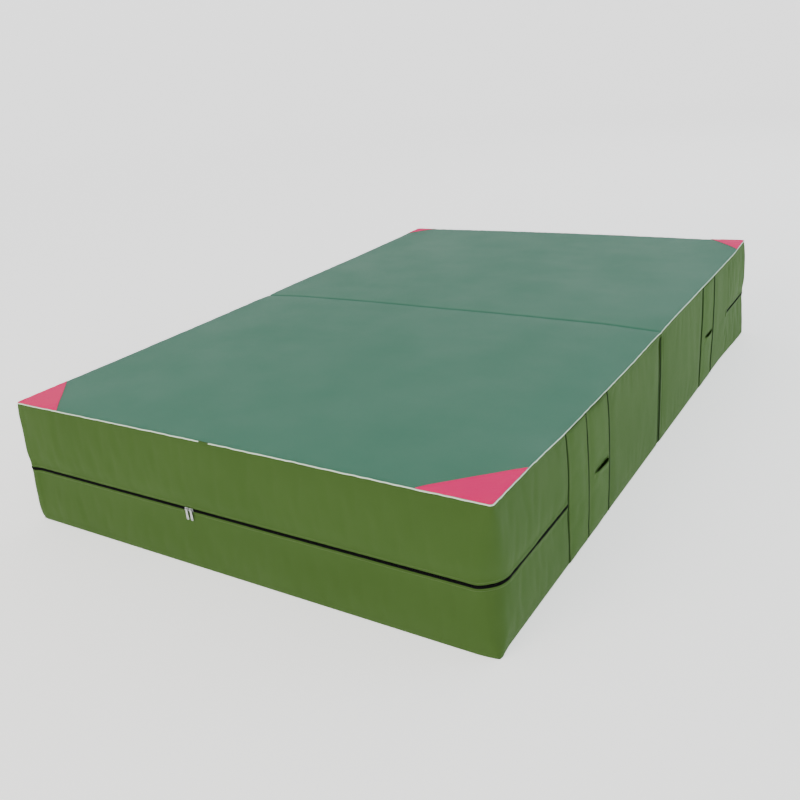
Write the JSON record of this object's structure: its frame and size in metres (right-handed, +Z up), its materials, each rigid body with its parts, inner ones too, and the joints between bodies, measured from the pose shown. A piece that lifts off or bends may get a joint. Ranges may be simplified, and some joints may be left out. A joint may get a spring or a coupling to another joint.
{
  "type": "folding crash landing mat",
  "caption": "Thick foam landing mat in two zipped canvas blocks, hinged by a one-piece top sheet, with side hand slots and bright corner patches.",
  "frame": {"origin": "on the floor under the middle of the fold line, at the centre of the mat's footprint", "axes": "+X across the mat to its right side, +Y along its length from the front block to the back block, +Z up"},
  "size_m": [2.019, 3.0176, 0.501],
  "materials": {
    "top_sheet": "matt coated canvas, sage green",
    "cover_canvas": "matt coated canvas, olive green",
    "webbing_band": "double canvas band, stitched",
    "base_sheet": "coated canvas underside",
    "corner_patch": "coated fabric, bright pink",
    "piping": "satin vinyl cord cover",
    "zip_tape": "woven tape",
    "zip_teeth": "moulded coil",
    "zip_slider": "plated die casting",
    "zip_pull": "plated pressed metal",
    "foam_soft": "open-cell polyurethane foam, soft",
    "foam_firm": "polyurethane foam, firm"
  },
  "bodies": {
    "front_block": {"fold_hinge_panel": "top_sheet", "fold_piping_left": "piping", "fold_piping_right": "piping", "front_bottom_panel": "base_sheet", "front_corner_patch_left": "corner_patch", "front_corner_patch_right": "corner_patch", "front_end_wall_lower": "cover_canvas", "front_end_wall_upper": "cover_canvas", "front_foam_base": "foam_firm", "front_foam_top": "foam_soft", "front_fold_face": "cover_canvas", "front_handle_left": "webbing_band", "front_handle_right": "webbing_band", "front_piping": "piping", "front_piping_join_tab": "cover_canvas", "front_side_panel_left": "cover_canvas", "front_side_panel_right": "cover_canvas", "front_top_panel": "top_sheet", "front_zip_coil_lower": "zip_teeth", "front_zip_coil_upper": "zip_teeth", "front_zip_end_cover_left": "webbing_band", "front_zip_end_cover_right": "webbing_band", "front_zip_tape_lower": "zip_tape", "front_zip_tape_upper": "zip_tape"},
    "back_block": {"back_bottom_panel": "base_sheet", "back_corner_patch_left": "corner_patch", "back_corner_patch_right": "corner_patch", "back_end_wall_lower": "cover_canvas", "back_end_wall_upper": "cover_canvas", "back_foam_base": "foam_firm", "back_foam_top": "foam_soft", "back_fold_face": "cover_canvas", "back_handle_left": "webbing_band", "back_handle_right": "webbing_band", "back_piping": "piping", "back_side_panel_left": "cover_canvas", "back_side_panel_right": "cover_canvas", "back_top_panel": "top_sheet", "back_zip_coil_lower": "zip_teeth", "back_zip_coil_upper": "zip_teeth", "back_zip_end_stop_left": "webbing_band", "back_zip_end_stop_right": "webbing_band", "back_zip_tape_lower": "zip_tape", "back_zip_tape_upper": "zip_tape"},
    "front_zip_slider_left": {"front_zip_slider_left": "zip_slider"},
    "front_zip_pull_left": {"front_zip_pull_left": "zip_pull"},
    "front_zip_slider_right": {"front_zip_slider_right": "zip_slider"},
    "front_zip_pull_right": {"front_zip_pull_right": "zip_pull"},
    "back_zip_slider_left": {"back_zip_slider_left": "zip_slider"},
    "back_zip_pull_left": {"back_zip_pull_left": "zip_pull"},
    "back_zip_slider_right": {"back_zip_slider_right": "zip_slider"},
    "back_zip_pull_right": {"back_zip_pull_right": "zip_pull"}
  },
  "joints": [
    {"name": "fold", "type": "hinge", "parent": "front_block", "child": "back_block", "pos_m": [0, 0, 0.51], "axis": [1, 0, 0], "range_deg": [0, 180], "deforming": ["fold_hinge_panel", "fold_piping_left", "fold_piping_right"]},
    {"name": "front_zip_slide_left", "type": "slide", "parent": "front_block", "child": "front_zip_slider_left", "axis": [-1, 0, 0], "range_m": [0, 0.76]},
    {"name": "front_zip_pull_swing_left", "type": "hinge", "parent": "front_zip_slider_left", "child": "front_zip_pull_left", "pos_m": [-0.17, -1.5064, 0.225], "axis": [-1, 0, 0], "range_deg": [-4, 170]},
    {"name": "front_zip_slide_right", "type": "slide", "parent": "front_block", "child": "front_zip_slider_right", "axis": [1, 0, 0], "range_m": [0, 1.08]},
    {"name": "front_zip_pull_swing_right", "type": "hinge", "parent": "front_zip_slider_right", "child": "front_zip_pull_right", "pos_m": [-0.15, -1.5064, 0.225], "axis": [-1, 0, 0], "range_deg": [-4, 170]},
    {"name": "back_zip_slide_left", "type": "slide", "parent": "back_block", "child": "back_zip_slider_left", "axis": [-1, 0, 0], "range_m": [0, 1.08]},
    {"name": "back_zip_pull_swing_left", "type": "hinge", "parent": "back_zip_slider_left", "child": "back_zip_pull_left", "pos_m": [0.15, 1.5064, 0.225], "axis": [1, 0, 0], "range_deg": [-4, 170]},
    {"name": "back_zip_slide_right", "type": "slide", "parent": "back_block", "child": "back_zip_slider_right", "axis": [1, 0, 0], "range_m": [0, 0.76]},
    {"name": "back_zip_pull_swing_right", "type": "hinge", "parent": "back_zip_slider_right", "child": "back_zip_pull_right", "pos_m": [0.17, 1.5064, 0.225], "axis": [1, 0, 0], "range_deg": [-4, 170]}
  ]
}
